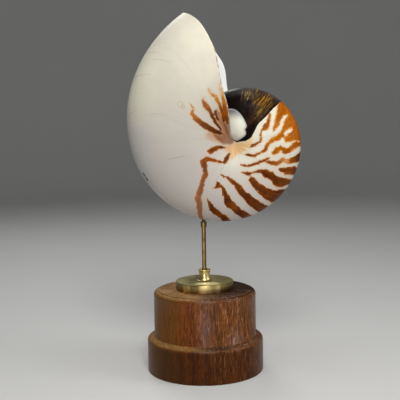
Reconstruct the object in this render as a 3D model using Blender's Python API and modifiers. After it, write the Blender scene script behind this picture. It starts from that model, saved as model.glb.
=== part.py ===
"""Chambered nautilus shell standing on a brass stem and a turned wooden base.

Units are metres, +Z is up and the origin is the centre of the base's underside.
The shell coils in one plane. Every point of it is given by three things: the angle
back from the mouth, the distance from the coil's axis and the half width there.
"""

import math

import bmesh
import bpy
import numpy as np

MM = 0.001
GAP = 0.3 * MM                  # clearance between pieces that touch
MERGE = 0.001 * MM

# Turned wooden base: a low wide tier under a taller narrow one
LOWER_TIER_RADIUS = 48.0 * MM
LOWER_WALL_TOP = 25.2 * MM
UPPER_TIER_RADIUS = 42.2 * MM
SHOULDER_TOP = 29.0 * MM
UPPER_WALL_TOP = 63.4 * MM
BASE_TOP = 67.2 * MM
RIM_INNER_RADIUS = 38.6 * MM
RIM_FILLET = 0.6 * MM
FOOT_CHAMFER = 0.8 * MM

# Brass fittings
DISC_RADIUS = 23.7 * MM
DISC_BOTTOM = BASE_TOP + GAP
DISC_TOP = 74.3 * MM
DISC_EDGE = 0.8 * MM
ROD_RADIUS = 1.8 * MM
ROD_SOCKET = 4.0 * MM           # depth of the rod's hole in the disc
SHOULDER_Z = 118.4 * MM         # where the rod steps down to its pin
PIN_RADIUS = 1.5 * MM
PIN_TOP = 131.0 * MM
COLLAR_FOOT_RADIUS = 6.5 * MM
COLLAR_WAIST_RADIUS = 4.5 * MM
COLLAR_TOP_RADIUS = 5.2 * MM
COLLAR_LIP = 0.6 * MM
COLLAR_WAIST_DROP = 3.0 * MM    # top of the collar down to its waist
COLLAR_RECESS_RADIUS = 4.0 * MM
COLLAR_RECESS = 1.6 * MM
COLLAR_TOP = 83.4 * MM
FERRULE_RADIUS = 2.45 * MM
FERRULE_BEAD_RADIUS = 2.75 * MM
FERRULE_TOP = 122.9 * MM

# Where the shell stands
AXIS_X = 25.4 * MM              # coil axis to stem, along the plane of the coil
AXIS_Z = 186.7 * MM
SHELL_TURN = math.radians(4.3)  # clockwise about the stem, seen from above
MOUTH_DIRECTION = math.radians(98.1)

# The coil: outer radius at every eighth of a turn back from the mouth
EIGHTH = math.pi / 4
TURN = 2 * math.pi
OUTER_RADII = [r * MM for r in (118.2, 98.0, 82.4, 69.9, 61.2, 55.8, 53.8, 50.0, 42.7)]
HALF_WIDTH = 0.371              # widest half width over outer radius
WIDEST_AT = 0.4165              # distance of the widest line over outer radius
ROUNDNESS = 2.143               # power of the outer arc of a whorl's section
HOLLOW_POWER = 0.55             # lower gives a narrower, steeper hollow at the navel
PLUG_RADIUS = 2.4 * MM          # flat plug that closes the navel
PLUG_HALF_WIDTH = 14.0 * MM
PLUG_DISH = 0.3 * MM

# The mouth's edge: degrees back from the mouth line, by distance over outer radius
LIP_AT = (0.04, 0.10, 0.20, 0.35, 0.55, 0.72, 0.86, 0.95, 1.0)
LIP_BACK = [math.radians(d) for d in (4.9, 1.2, -3.3, -0.9, 0.4, 3.5, 6.7, 10.2, 12.6)]
LIP_THICKNESS = 1.1 * MM
WALL_THICKNESS = 1.7 * MM
WALL_GROWS_OVER = math.radians(40)

# The open body chamber and the last partition behind it
CHAMBER_LENGTH = math.radians(120)
CORNER_RADIUS = 2.6 * MM        # how far the chamber's inner corner leaves the plug
CORNER_GROWS_OVER = math.radians(12)
PARTITION_DEPTH = 16.0 * MM

# White pad on the older whorl, tucked in under the mouth's edge
PAD_CENTRE = (3.0 * MM, 14.8 * MM)
PAD_HALF_SIZE = (8.6 * MM, 13.2 * MM)
PAD_HEIGHT = 6.0 * MM
PAD_ROUNDNESS = 0.75            # lower gives the pad a steeper edge
PAD_FADE = 6.0 * MM             # the pad grows from nothing over this, away from the plug

# How finely the pieces are divided
STATIONS = 48                   # around one whole turn
PLUG_RINGS = 2
FLANK_STEPS = 9
FLANK_CROWDING = 1.4            # above 1 the steps crowd towards the navel
OUTER_STEPS = 9
PARTITION_STEPS = 6
BASE_SIDES = 60
DISC_SIDES = 48
COLLAR_SIDES = 24
ROD_SIDES = 16
FERRULE_SIDES = 20
TURNED_EDGE_STEPS = 4
SHARP_ANGLE = math.radians(40)  # corners of the shell above this stay sharp


def natural_spline(knots, values, x):
    """Smooth curve through the knots, with no bend at its two ends."""
    knots, values = np.asarray(knots, float), np.asarray(values, float)
    h = np.diff(knots)
    slope = np.diff(values) / h
    count = len(knots)
    system, right = np.eye(count), np.zeros(count)
    for k in range(1, count - 1):
        system[k, k - 1:k + 2] = h[k - 1], 2 * (h[k - 1] + h[k]), h[k]
        right[k] = 6 * (slope[k] - slope[k - 1])
    bend = np.linalg.solve(system, right)
    k = np.clip(np.searchsorted(knots, x) - 1, 0, count - 2)
    a, b = (knots[k + 1] - x) / h[k], (x - knots[k]) / h[k]
    curve = (a ** 3 - a) * bend[k] + (b ** 3 - b) * bend[k + 1]
    return a * values[k] + b * values[k + 1] + curve * h[k] ** 2 / 6


def outer_radius(back):
    """Outer radius of the coil at an angle back from the mouth."""
    knots = [EIGHTH * k for k in range(len(OUTER_RADII))]
    logs = np.log(OUTER_RADII)
    shrink = (logs[0] - logs[-1]) / TURN
    inside = natural_spline(knots, logs, np.clip(back, 0, TURN))
    before = (logs[0] - logs[1]) / EIGHTH * np.clip(-back, 0, None)
    beyond = -shrink * np.clip(back - TURN, 0, None)
    return np.exp(inside + before + beyond)


def flank_rise(share):
    """Rise of the flank from 0 at the navel to 1 at the widest line."""
    return (1 - np.cos(math.pi * share ** HOLLOW_POWER)) / 2


def flank_half_width(radius, rho):
    """Half width of a whorl between its navel and its widest line."""
    share = np.clip((rho - PLUG_RADIUS) / (WIDEST_AT * radius - PLUG_RADIUS), 0, 1)
    return PLUG_HALF_WIDTH + (HALF_WIDTH * radius - PLUG_HALF_WIDTH) * flank_rise(share)


def half_section(radius, start_rho, start_y, wall):
    """Half of a whorl's section, from the start point over the flank to the keel line."""
    given = (radius, start_rho, start_y, wall)
    radius, start_rho, start_y, wall = (np.asarray(v)[..., None] for v in given)
    widest, half_width = WIDEST_AT * radius, HALF_WIDTH * radius - wall
    share = np.linspace(0, 1, FLANK_STEPS + 1)[:-1] ** FLANK_CROWDING
    flank_rho = start_rho + (widest - start_rho) * share
    flank_y = start_y + (half_width - start_y) * flank_rise(share)
    angle = np.linspace(0, math.pi / 2, OUTER_STEPS + 1)
    power = 2 / ROUNDNESS
    outer_rho = widest + (radius - wall - widest) * np.sin(angle) ** power
    outer_y = half_width * np.clip(np.cos(angle), 0, 1) ** power
    outer_y[..., -1] = 0
    return np.concatenate([flank_rho, outer_rho], -1), np.concatenate([flank_y, outer_y], -1)


def lip_shift():
    """Angle by which each line along the whorl ends behind the mouth line."""
    rho, _ = half_section(OUTER_RADII[0], PLUG_RADIUS, PLUG_HALF_WIDTH, 0.0)
    share = np.clip(rho / OUTER_RADII[0], LIP_AT[0], 1)
    return natural_spline(LIP_AT, LIP_BACK, share)


def pad_height(rho, direction, back):
    """Extra half width given by the white pad beside the mouth's edge."""
    x = (rho * np.cos(direction) - PAD_CENTRE[0]) / PAD_HALF_SIZE[0]
    z = (rho * np.sin(direction) - PAD_CENTRE[1]) / PAD_HALF_SIZE[1]
    dome = np.clip(1 - x * x - z * z, 0, 1) ** PAD_ROUNDNESS
    leave_plug = np.sin(math.pi / 2 * np.clip((rho - PLUG_RADIUS) / PAD_FADE, 0, 1))
    return np.where(back > TURN / 2, PAD_HEIGHT * dome * leave_plug, 0)


def whorl_rows(back, start_rho, start_y, wall, padded):
    """Both halves of the section at each angle back, as rows of points."""
    rows, shift = len(back), lip_shift()
    angle = back[:, None] + shift[None, :]
    rho, half = np.empty_like(angle), np.empty_like(angle)
    for column in range(len(shift)):
        r, y = half_section(outer_radius(angle[:, column]), start_rho, start_y, wall)
        rho[:, column], half[:, column] = r[:, column], y[:, column]
    direction = MOUTH_DIRECTION + angle
    if padded:
        half = half + pad_height(rho, direction, angle)
    x, z = rho * np.cos(direction), rho * np.sin(direction)
    near = np.stack([x, -half, z], -1)
    far = np.stack([x, half, z], -1)[:, ::-1]
    return np.concatenate([near, far[:, 1:]], 1).reshape(rows, -1, 3)


def plug_rows(back, side):
    """The plug that closes the navel on one side: rings from its middle outwards."""
    rho = np.linspace(0, PLUG_RADIUS, PLUG_RINGS + 1)
    half = PLUG_HALF_WIDTH - PLUG_DISH * (1 - (rho / PLUG_RADIUS) ** 2)
    direction = MOUTH_DIRECTION + back[:, None] + lip_shift()[0]
    y = np.broadcast_to(side * half, (len(back), len(rho)))
    return np.stack([rho * np.cos(direction), y, rho * np.sin(direction)], -1)


def corner_of_chamber(back):
    """Inner corner of the body chamber, where its roof meets the older whorl."""
    grown = np.clip(back / CORNER_GROWS_OVER, 0, 1)
    rho = PLUG_RADIUS + CORNER_RADIUS * grown * (2 - grown)
    older = outer_radius(back + TURN + lip_shift()[0])
    return rho, flank_half_width(older, rho)


def partition_rows(roof, floor):
    """Dished wall that closes the chamber, from the roof's last row to the floor's."""
    across = np.linspace(-1, 1, roof.shape[0])
    rows = []
    for step in np.linspace(0, 1, PARTITION_STEPS + 1):
        row = roof * (1 - step) + floor * step
        dish = PARTITION_DEPTH * 4 * step * (1 - step) * (1 - across ** 2)
        turn = dish / np.maximum(np.hypot(row[:, 0], row[:, 2]), PARTITION_DEPTH)
        x = row[:, 0] * np.cos(turn) - row[:, 2] * np.sin(turn)
        z = row[:, 0] * np.sin(turn) + row[:, 2] * np.cos(turn)
        rows.append(np.stack([x, row[:, 1], z], -1))
    return np.array(rows)


def shell_patches():
    """The grids of points that together close the shell's surface."""
    around = np.linspace(0, TURN, STATIONS + 1)
    plug = np.full(len(around), PLUG_RADIUS), np.full(len(around), PLUG_HALF_WIDTH)
    outside = whorl_rows(around, *plug, np.zeros(len(around)), True)
    inside_angles = around[around <= CHAMBER_LENGTH + MERGE]
    corner = corner_of_chamber(inside_angles)
    grown = np.clip(inside_angles / WALL_GROWS_OVER, 0, 1)
    wall = LIP_THICKNESS + (WALL_THICKNESS - LIP_THICKNESS) * grown
    roof = whorl_rows(inside_angles, *corner, wall, False)
    floor = whorl_rows(inside_angles + TURN, *corner, np.zeros(len(corner[0])), True)
    floor[:, 0], floor[:, -1] = roof[:, 0], roof[:, -1]
    lip = np.stack([outside[0], roof[0]])
    return [outside, roof, floor, lip, partition_rows(roof[-1], floor[-1]),
            plug_rows(around, -1), plug_rows(around, 1)]


def mesh_from_grids(name, grids):
    """One mesh from grids of points, welded where their borders meet."""
    verts, faces, start = [], [], 0
    for grid in grids:
        rows, columns = grid.shape[:2]
        verts.extend(map(tuple, grid.reshape(-1, 3)))
        for r in range(rows - 1):
            for c in range(columns - 1):
                a = start + r * columns + c
                faces.append((a, a + 1, a + columns + 1, a + columns))
        start += rows * columns
    mesh = bpy.data.meshes.new(name)
    mesh.from_pydata(verts, [], faces)
    weld_and_face_outwards(mesh)
    return mesh


def weld_and_face_outwards(mesh):
    """Weld points that share a place and turn every face outwards."""
    bm = bmesh.new()
    bm.from_mesh(mesh)
    bmesh.ops.remove_doubles(bm, verts=bm.verts, dist=MERGE)
    bmesh.ops.recalc_face_normals(bm, faces=bm.faces)
    bm.to_mesh(mesh)
    bm.free()


def material(name, colour, roughness, metallic=0.0):
    """A plain Principled material in linear colour."""
    mat = bpy.data.materials.new(name)
    mat.use_nodes = True
    shader = mat.node_tree.nodes["Principled BSDF"]
    shader.inputs["Base Color"].default_value = (*colour, 1.0)
    shader.inputs["Roughness"].default_value = roughness
    shader.inputs["Metallic"].default_value = metallic
    mat.diffuse_color = (*colour, 1.0)
    return mat


def new_object(name, mesh, collection, mat=None):
    """Link a mesh to the collection, with its material if it has one."""
    obj = bpy.data.objects.new(name, mesh)
    collection.objects.link(obj)
    if mat:
        mesh.materials.append(mat)
    return obj


def quarter_round(centre, half_size, steps):
    """Points of a convex quarter arc from its top to its outermost point."""
    angles = [math.pi / 2 * k / steps for k in range(steps + 1)]
    return [(centre[0] + half_size[0] * math.sin(a), centre[1] + half_size[1] * math.cos(a))
            for a in angles]


def cove(top, bottom, steps):
    """Points of a hollow quarter arc that flares outwards on its way down."""
    width, height = bottom[0] - top[0], top[1] - bottom[1]
    angles = [math.pi / 2 * k / steps for k in range(steps + 1)]
    return [(top[0] + width * (1 - math.cos(a)), top[1] - height * math.sin(a)) for a in angles]


def turned(name, profile, steps, collection, mat, closed=False):
    """A solid of revolution about Z from (radius, height) points, top to bottom outside."""
    mesh = bpy.data.meshes.new(name)
    count = len(profile)
    edges = [(k, k + 1) for k in range(count - 1)]
    if closed:
        edges.append((count - 1, 0))
    mesh.from_pydata([(r, 0, z) for r, z in profile], edges, [])
    obj = new_object(name, mesh, collection, mat)
    screw = obj.modifiers.new("Turn", "SCREW")
    screw.axis = "Z"
    screw.steps = steps
    screw.render_steps = steps
    screw.use_merge_vertices = True
    screw.merge_threshold = MERGE
    screw.use_smooth_shade = True
    return obj


def make_base(collection):
    """The turned wooden base, two tiers from one block."""
    rim_height = BASE_TOP - RIM_FILLET - UPPER_WALL_TOP
    rim_width = UPPER_TIER_RADIUS - RIM_INNER_RADIUS
    shoulder = (LOWER_TIER_RADIUS - UPPER_TIER_RADIUS, SHOULDER_TOP - LOWER_WALL_TOP)
    profile = [(0, BASE_TOP), (RIM_INNER_RADIUS, BASE_TOP)]
    profile += quarter_round((RIM_INNER_RADIUS, UPPER_WALL_TOP), (rim_width, rim_height), TURNED_EDGE_STEPS)
    profile += quarter_round((UPPER_TIER_RADIUS, LOWER_WALL_TOP), shoulder, TURNED_EDGE_STEPS)
    profile += [(LOWER_TIER_RADIUS, FOOT_CHAMFER), (LOWER_TIER_RADIUS - FOOT_CHAMFER, 0), (0, 0)]
    wood = material("reddish_wood", (0.17, 0.062, 0.022), 0.45)
    return turned("wooden_base", profile, BASE_SIDES, collection, wood)


def make_disc(collection, brass):
    """The brass disc that lies on the base, with a socket for the rod."""
    socket_radius, socket_floor = ROD_RADIUS + GAP, DISC_TOP - ROD_SOCKET
    profile = [(0, socket_floor), (socket_radius, socket_floor), (socket_radius, DISC_TOP)]
    profile += quarter_round((DISC_RADIUS - DISC_EDGE, DISC_TOP - DISC_EDGE), (DISC_EDGE, DISC_EDGE), 2)
    profile += [(DISC_RADIUS, DISC_BOTTOM), (0, DISC_BOTTOM)]
    return turned("brass_disc", profile, DISC_SIDES, collection, brass)


def make_collar(collection, brass):
    """The flared collar around the foot of the rod."""
    bottom, bore = DISC_TOP + GAP, ROD_RADIUS + GAP
    waist = (COLLAR_WAIST_RADIUS, COLLAR_TOP - COLLAR_WAIST_DROP)
    profile = [(COLLAR_RECESS_RADIUS, COLLAR_TOP), (COLLAR_TOP_RADIUS, COLLAR_TOP)]
    profile += [(COLLAR_TOP_RADIUS, COLLAR_TOP - COLLAR_LIP)]
    profile += cove(waist, (COLLAR_FOOT_RADIUS, bottom), 5)
    profile += [(bore, bottom), (bore, COLLAR_TOP - COLLAR_RECESS)]
    profile += [(COLLAR_RECESS_RADIUS, COLLAR_TOP - COLLAR_RECESS)]
    return turned("brass_collar", profile, COLLAR_SIDES, collection, brass, closed=True)


def make_rod(collection, brass):
    """The straight rod, stepped down at its top to the pin that enters the shell."""
    foot = DISC_TOP - ROD_SOCKET + GAP
    profile = [(0, PIN_TOP), (PIN_RADIUS, PIN_TOP), (PIN_RADIUS, SHOULDER_Z)]
    profile += [(ROD_RADIUS, SHOULDER_Z), (ROD_RADIUS, foot), (0, foot)]
    return turned("brass_rod", profile, ROD_SIDES, collection, brass)


def make_ferrule(collection, brass):
    """The small ferrule with a beaded top that the shell stands on."""
    bottom, bore = SHOULDER_Z + GAP, PIN_RADIUS + GAP
    bead = FERRULE_BEAD_RADIUS - FERRULE_RADIUS
    profile = [(bore, FERRULE_TOP), (FERRULE_RADIUS, FERRULE_TOP)]
    profile += [(FERRULE_BEAD_RADIUS, FERRULE_TOP - bead), (FERRULE_BEAD_RADIUS, FERRULE_TOP - 3 * bead)]
    profile += [(FERRULE_RADIUS, FERRULE_TOP - 4 * bead), (FERRULE_RADIUS, bottom), (bore, bottom)]
    return turned("brass_ferrule", profile, FERRULE_SIDES, collection, brass, closed=True)


def make_shell(collection, cutters):
    """The nautilus shell, drilled from below for the rod's pin."""
    pearl = material("nautilus_shell", (0.74, 0.66, 0.54), 0.35)
    mesh = mesh_from_grids("nautilus_shell", shell_patches())
    shell = new_object("nautilus_shell", mesh, collection, pearl)
    shell.location = (AXIS_X * math.cos(SHELL_TURN), -AXIS_X * math.sin(SHELL_TURN), AXIS_Z)
    shell.rotation_euler = (0, 0, -SHELL_TURN)
    hole_radius, hole_top = PIN_RADIUS + GAP, PIN_TOP + GAP
    profile = [(0, hole_top), (hole_radius, hole_top), (hole_radius, SHOULDER_Z), (0, SHOULDER_Z)]
    drill = turned("pin_hole_drill", profile, ROD_SIDES, cutters, None)
    drill.hide_render = True
    drill.display_type = "WIRE"
    cut = shell.modifiers.new("Pin hole", "BOOLEAN")
    cut.operation = "DIFFERENCE"
    cut.object = drill
    return shell


def smooth(obj):
    """Shade the object's own faces smooth, leaving real corners sharp."""
    obj.data.shade_smooth()
    obj.data.set_sharp_from_angle(angle=SHARP_ANGLE)


def main():
    for old in list(bpy.data.objects):
        bpy.data.objects.remove(old, do_unlink=True)
    collection = bpy.data.collections.new("Nautilus shell on stand")
    cutters = bpy.data.collections.new("Cutters")
    bpy.context.scene.collection.children.link(collection)
    bpy.context.scene.collection.children.link(cutters)
    brass = material("satin_brass", (0.55, 0.40, 0.13), 0.32, 1.0)
    make_base(collection)
    make_disc(collection, brass)
    make_collar(collection, brass)
    make_rod(collection, brass)
    make_ferrule(collection, brass)
    smooth(make_shell(collection, cutters))


main()
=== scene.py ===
import math

import bmesh
import bpy
import numpy as np
from mathutils import Matrix, Vector


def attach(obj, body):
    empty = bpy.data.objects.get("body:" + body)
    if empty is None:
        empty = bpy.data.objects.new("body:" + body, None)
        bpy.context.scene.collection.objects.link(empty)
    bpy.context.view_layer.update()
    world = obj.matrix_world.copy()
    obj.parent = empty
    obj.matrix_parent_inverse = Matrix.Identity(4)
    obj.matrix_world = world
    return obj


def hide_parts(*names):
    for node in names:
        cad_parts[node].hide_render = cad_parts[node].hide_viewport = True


# Dressed model of the nautilus shell on its stand: finer surfaces, markings, materials, light and camera.
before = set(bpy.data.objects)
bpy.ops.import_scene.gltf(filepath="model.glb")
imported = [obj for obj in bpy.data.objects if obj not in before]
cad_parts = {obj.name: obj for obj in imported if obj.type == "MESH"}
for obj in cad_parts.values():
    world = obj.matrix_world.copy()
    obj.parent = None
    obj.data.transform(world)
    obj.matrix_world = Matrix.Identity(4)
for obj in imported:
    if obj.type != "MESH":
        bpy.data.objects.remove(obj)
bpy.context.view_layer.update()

MM = 0.001
MERGE = 0.001 * MM
FAR_OFF = 8.0        # largest distance to a marking's edge that is stored, in mm
REACH = 25.0         # degrees about a marking in which its distance is worked out
CORNER_CUT = 0.22    # share of an outline's edges that its rounded corners take, at each end
TABLE_STEPS = 160    # points along each half of a half section's table
EIGHTH = math.pi / 4
TURN = 2 * math.pi

# Swings of the far side's markings against the near side's: degrees, waves per degree and share, start
FAR_SHIFTS = ((5.5, 0.071, 0, 1.3), (3.0, 0.19, 6, 0.4))

# The stand, as in the CAD
LOWER_TIER_RADIUS = 48.0 * MM
LOWER_WALL_TOP = 25.2 * MM
UPPER_TIER_RADIUS = 42.2 * MM
SHOULDER_TOP = 29.0 * MM
UPPER_WALL_TOP = 63.4 * MM
BASE_TOP = 67.2 * MM
RIM_INNER_RADIUS = 38.6 * MM
RIM_DROP = 0.6 * MM
DISC_RADIUS = 23.7 * MM
DISC_BOTTOM = 67.5 * MM
DISC_TOP = 74.3 * MM
ROD_RADIUS = 1.8 * MM
ROD_FOOT = 70.6 * MM
SHOULDER_Z = 118.4 * MM
PIN_RADIUS = 1.5 * MM
PIN_SHOWN_TO = 127.0 * MM
COLLAR_FOOT_RADIUS = 6.5 * MM
COLLAR_WAIST_RADIUS = 4.5 * MM
COLLAR_TOP_RADIUS = 5.2 * MM
COLLAR_BOTTOM = 74.6 * MM
COLLAR_TOP = 83.4 * MM
COLLAR_WAIST_DOWN = 3.0 * MM
FERRULE_RADIUS = 2.45 * MM
FERRULE_BEAD_RADIUS = 2.75 * MM
FERRULE_BOTTOM = 118.7 * MM
FERRULE_TOP = 122.9 * MM
BORE_GAP = 0.3 * MM

# The shell, as in the CAD
AXIS_X = 25.4 * MM
AXIS_Z = 186.7 * MM
SHELL_TURN = math.radians(4.3)
MOUTH_DIRECTION = math.radians(98.1)
OUTER_RADII = [r * MM for r in (118.2, 98.0, 82.4, 69.9, 61.2, 55.8, 53.8, 50.0, 42.7)]
HALF_WIDTH = 0.371
WIDEST_AT = 0.4165
ROUNDNESS = 2.143
HOLLOW_POWER = 0.55
PLUG_RADIUS = 2.4 * MM
PLUG_HALF_WIDTH = 14.0 * MM
PLUG_DISH = 0.3 * MM
LIP_AT = (0.04, 0.10, 0.20, 0.35, 0.55, 0.72, 0.86, 0.95, 1.0)
LIP_BACK = [math.radians(d) for d in (4.9, 1.2, -3.3, -0.9, 0.4, 3.5, 6.7, 10.2, 12.6)]
# How much further back the edge of the mouth lies here than in the CAD, near and far, in degrees
NEAR_LIP_MORE = ((0.06, 0.0), (0.12, 0.6), (0.20, 1.1), (0.40, 1.1), (0.50, 0.9), (0.55, 0.8), (0.60, 0.15),
                 (0.66, 0.0))
FAR_LIP_MORE = ((0.25, 0.0), (0.35, 0.8), (0.40, 0.7), (0.45, 0.1), (0.50, -0.4), (0.55, -0.3), (0.60, 0.2),
                (0.65, 1.1), (0.70, 1.4), (0.75, 1.0), (0.80, 0.3), (0.85, 0.0))
LIP_THICKNESS = 1.1 * MM
WALL_THICKNESS = 1.7 * MM
WALL_GROWS_OVER = math.radians(40)
CHAMBER_LENGTH = math.radians(120)
CORNER_RADIUS = 2.6 * MM
CORNER_GROWS_OVER = math.radians(12)
PARTITION_DEPTH = 16.0 * MM
PAD_CENTRE = (3.0 * MM, 14.8 * MM)
PAD_HALF_SIZE = (8.6 * MM, 13.2 * MM)
PAD_HEIGHT = 6.0 * MM
PAD_ROUNDNESS = 0.75
PAD_FADE = 6.0 * MM

# The camera fitted to the photo: place in m, downward pitch, roll and yaw in degrees, lens and sensor in mm
CAMERA_PLACE = (0, -0.6534, 0.2081)
CAMERA_DEGREES = (5.866, -0.87, -0.238)
CAMERA_LENS, CAMERA_SENSOR = 72.0, 36.0

# How finely the shell is divided here
FLANK_STEPS = 40
OUTER_STEPS = 54
STRIPED = (90, 310)                          # degrees back between which rows lie closer
ROW_DEGREES = 0.8          # there
PLAIN_ROW_DEGREES = 1.25   # elsewhere
INSIDE_ROW_DEGREES = 2.5
LIP_ROWS = 3
EDGE_ROWS = (0.0, 0.12, 0.3, 0.65)           # degrees back of the rows next to the mouth's edge
PARTITION_STEPS = 8
PLUG_RINGS = 3

# The markings are traced from the photo, with the fitted camera.
# Stripes as strokes: tone at the start and the end, how far the end fades, and the path as
# (degrees back from the mouth, share of the way from navel to keel, width in mm)
STROKES = [
    ((0.85, 0.55, 0.0), [(299.6, .6, 2.0), (296.3, .549, 3.1), (292.6, .512, 2.5), (289.8, .468, 4.9),
      (288.6, .416, 2.6), (285.5, .377, 1.5), (276.9, .346, 1.6), (267.7, .319, 2.0),
      (261.5, .256, 2.0), (252.7, .199, 1.5)]),
    ((0.85, 0.3, 0.0), [(267.7, .474, 3.6), (263.7, .43, 2.5), (258.3, .406, 2.3), (253.2, .393, 2.5),
      (248.5, .362, 2.3), (243.7, .326, 2.1), (237.8, .3, 2.5), (232.2, .262, 2.6), (227.6, .213, 2.3),
      (222.1, .176, 1.3)]),
    ((0.3, 0.5, 0.0), [(193.0, .236, .6), (197.2, .253, 1.3), (202.3, .276, 1.8), (210.0, .305, 2.0),
      (217.9, .33, 1.6), (223.7, .352, 1.8), (228.3, .372, 2.2), (232.5, .402, 2.2), (236.7, .424, 2.0),
      (241.6, .464, .7)]),
    ((0.5, 0.95, 0.35), [(234.3, .451, 1.8), (235.8, .502, 2.9), (237.0, .548, 3.1), (239.8, .593, 4.0),
      (244.0, .628, 3.2), (243.7, .668, 2.9), (243.7, .716, 3.6)]),
    ((0.4, 0.35, 0.0), [(187.0, .325, .5), (191.1, .327, 1.4), (195.3, .349, 2.2), (200.2, .371, 2.9),
      (206.2, .388, 1.8), (211.0, .408, 1.8), (214.4, .422, 2.5)]),
    ((0.25, 0.45, 0.0), [(147.6, .086, 1.7), (148.3, .13, 3.0), (148.0, .172, 3.2), (146.0, .199, 2.3)]),
    ((0.45, 0.62, 0.22), [(147.0, .195, 1.3), (137.0, .205, 1.9), (128.0, .218, 2.3),
      (121.5, .228, 2.3), (115.8, .24, 3.0), (111.1, .264, 4.1), (110.0, .288, 4.9), (113.1, .309, 5.3),
      (117.7, .322, 4.9), (122.6, .34, 4.1), (127.0, .367, 4.1), (130.0, .401, 4.1), (131.5, .44, 4.1),
      (133.5, .477, 4.1), (135.3, .514, 4.5), (136.4, .555, 4.9), (137.2, .599, 4.5), (140.6, .66, 4.6),
      (144.7, .76, 4.2), (148.4, .95, 3.6), (149.2, 1.0, 3.6)]),
    ((0.1, 1.15, 0.15), [(36.8, .116, 2.3), (41.7, .157, 4.1), (43.6, .19, 4.5), (45.0, .221, 4.5),
      (45.3, .252, 4.9), (45.7, .282, 4.5), (45.1, .31, 4.1), (44.3, .335, 3.4), (43.3, .356, 3.0),
      (41.7, .367, 2.6), (38.6, .371, 1.9), (37.3, .386, 1.1), (36.5, .404, .8)]),
    ((0.1, 1.0, 0.15), [(28.0, .136, 1.5), (27.0, .179, 2.3), (26.8, .212, 2.6), (26.0, .236, 2.8),
      (24.7, .258, 3.0), (23.9, .283, 3.4), (24.4, .306, 4.1), (24.5, .329, 4.1), (24.1, .347, 2.6),
      (22.7, .36, 1.9), (20.1, .364, 1.1)]),
    ((0.05, 0.1, 0.15), [(19.4, .199, .8), (20.7, .217, 1.9), (19.5, .239, 2.8), (17.6, .257, 2.1),
      (15.7, .264, .8)]),
    ((0.35, 1.6, 0.15), [(11.0, .175, 1.9), (8.2, .217, 2.3), (7.4, .248, 2.3), (8.0, .273, 2.3),
      (8.8, .294, 2.6), (9.2, .317, 3.0), (10.7, .337, 3.0), (13.0, .352, 2.6), (13.9, .369, 2.3),
      (13.8, .383, 1.7), (13.2, .394, .9)]),
    ((0.4, 1.6, 0.15), [(3.2, .144, 1.5), (3.4, .181, 3.0), (2.8, .22, 4.1), (2.3, .254, 4.1),
      (1.5, .275, 3.4), (1.6, .298, 3.4), (1.9, .319, 3.0), (2.1, .34, 2.6), (2.4, .358, 2.3),
      (2.5, .38, 1.1)]),
]
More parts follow.
